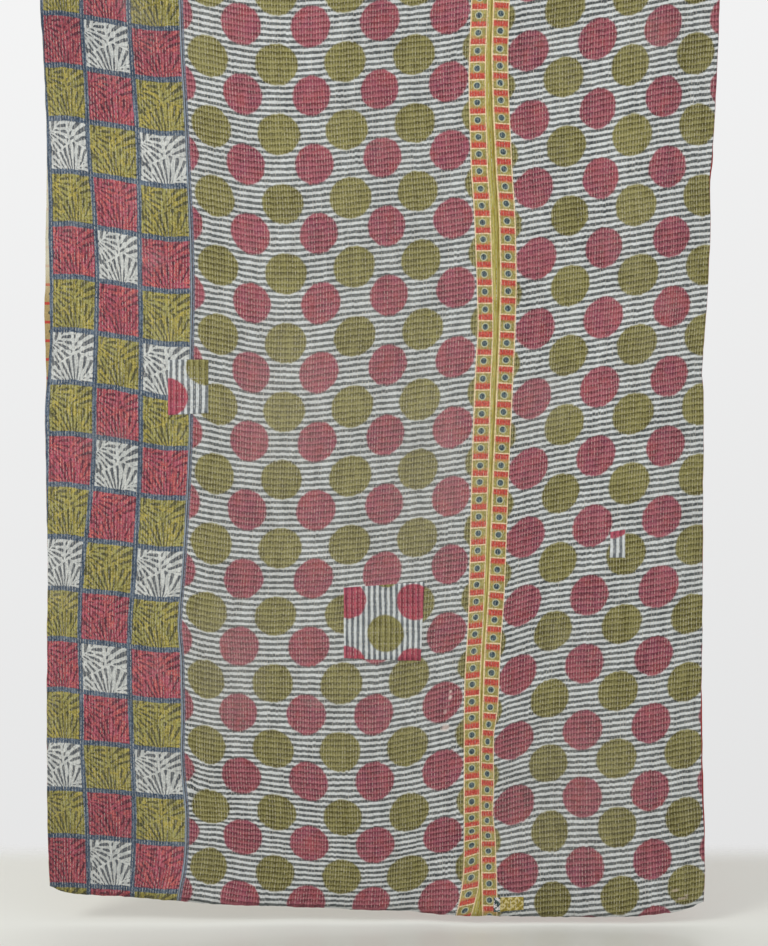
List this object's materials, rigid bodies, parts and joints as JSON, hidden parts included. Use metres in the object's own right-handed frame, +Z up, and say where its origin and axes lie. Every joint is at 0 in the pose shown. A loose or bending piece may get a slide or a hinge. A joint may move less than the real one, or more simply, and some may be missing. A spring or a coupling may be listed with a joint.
{
  "type": "kantha quilt",
  "caption": "Large kantha quilt hanging flat from its top edge: printed cotton panels sewn side by side over layered backing, with small mending patches.",
  "frame": {"origin": "middle of the top edge, on the folded surface between the face panels and the backing", "axes": "+Z up along the quilt's length, +X to the viewer's right, the face looks along -Y"},
  "size_m": [1.4481, 0.0337, 2.1733],
  "materials": {
    "check_print": "matte block-printed cotton with running stitches",
    "dot_print": "matte printed cotton with stripes, dots and running stitches",
    "backing_cloth": "matte worn cotton",
    "scrap_dot": "matte printed cotton scrap",
    "scrap_leaf": "matte leaf-printed cotton scrap"
  },
  "bodies": {
    "root": {"left_strip": "check_print", "centre_panel": "dot_print", "right_panel": "dot_print", "backing": "backing_cloth", "patch_large": "scrap_dot", "patch_seam": "scrap_dot", "patch_small": "scrap_dot", "patch_hem": "scrap_leaf"}
  },
  "joints": []
}
